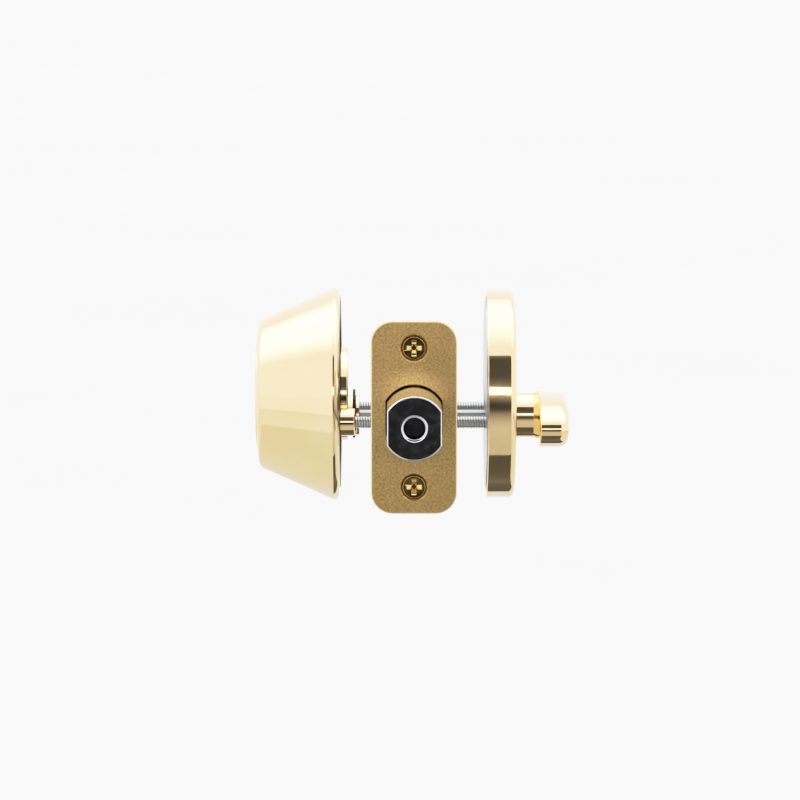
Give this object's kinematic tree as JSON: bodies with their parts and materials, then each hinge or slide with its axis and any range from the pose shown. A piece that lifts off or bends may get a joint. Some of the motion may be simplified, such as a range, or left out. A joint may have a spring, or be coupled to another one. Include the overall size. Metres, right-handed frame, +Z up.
{
  "type": "deadbolt door lock",
  "caption": "Single-cylinder deadbolt lock with a tapered exterior collar, an interior rose with a thumbturn, and a bolt thrown through a rounded faceplate.",
  "frame": {"origin": "on the face of the door's edge, at the bolt's centreline and the middle of the door's thickness", "axes": "+X into the room, -X outdoors, +Y from the door's edge into the door, +Z up"},
  "size_m": [0.0968, 0.1185, 0.0656],
  "materials": {
    "polished_brass": "polished and lacquered",
    "satin_brass": "satin, finely mottled",
    "plain_brass": "machined",
    "bolt_chrome": "polished plating",
    "zinc_plate": "zinc plated",
    "hard_steel": "ground"
  },
  "bodies": {
    "housing": {"exterior_collar": "polished_brass", "guard_ring": "hard_steel", "cylinder_body": "plain_brass", "pin_chamber_cap": "plain_brass", "faceplate": "satin_brass", "backing_plate": "zinc_plate", "faceplate_screw_lower": "plain_brass", "faceplate_screw_upper": "plain_brass", "bolt_tube": "zinc_plate", "case_exterior_half": "zinc_plate", "case_interior_half": "zinc_plate", "case_rivet_front": "zinc_plate", "case_rivet_rear": "zinc_plate", "case_rivet_upper": "zinc_plate", "mounting_plate": "zinc_plate", "interior_rose": "polished_brass", "cover_screw_front": "polished_brass", "cover_screw_rear": "polished_brass", "mounting_screw_front": "zinc_plate", "mounting_screw_rear": "zinc_plate", "wave_washer": "hard_steel", "driver_pin_1": "plain_brass", "driver_spring_1": "hard_steel", "driver_pin_2": "plain_brass", "driver_spring_2": "hard_steel", "driver_pin_3": "plain_brass", "driver_spring_3": "hard_steel", "driver_pin_4": "plain_brass", "driver_spring_4": "hard_steel", "driver_pin_5": "plain_brass", "driver_spring_5": "hard_steel"},
    "plug": {"cylinder_plug": "plain_brass", "plug_clip": "hard_steel", "bottom_pin_1": "plain_brass", "bottom_pin_2": "plain_brass", "bottom_pin_3": "plain_brass", "bottom_pin_4": "plain_brass", "bottom_pin_5": "plain_brass"},
    "turn_set": {"thumbturn": "polished_brass", "thumbturn_clip": "hard_steel", "tailpiece": "zinc_plate", "crank": "zinc_plate"},
    "bolt_set": {"bolt": "bolt_chrome", "saw_pin": "hard_steel", "tail_cross_pin": "hard_steel", "bolt_tail": "zinc_plate"}
  },
  "joints": [
    {"name": "thumbturn_turn", "type": "hinge", "parent": "housing", "child": "turn_set", "pos_m": [0, 0.0603, -0.0067], "axis": [-1, 0, 0], "range_deg": [0, 90]},
    {"name": "bolt_slide", "type": "slide", "parent": "housing", "child": "bolt_set", "axis": [0, 1, 0], "range_m": [0, 0.0254]},
    {"name": "plug_turn", "type": "hinge", "parent": "housing", "child": "plug", "pos_m": [0, 0.0603, -0.0067], "axis": [-1, 0, 0], "range_deg": [-90, 90]}
  ],
  "couplings": [
    {"joint": "bolt_slide", "follows": "thumbturn_turn", "m_per_rad": 0.01617}
  ]
}
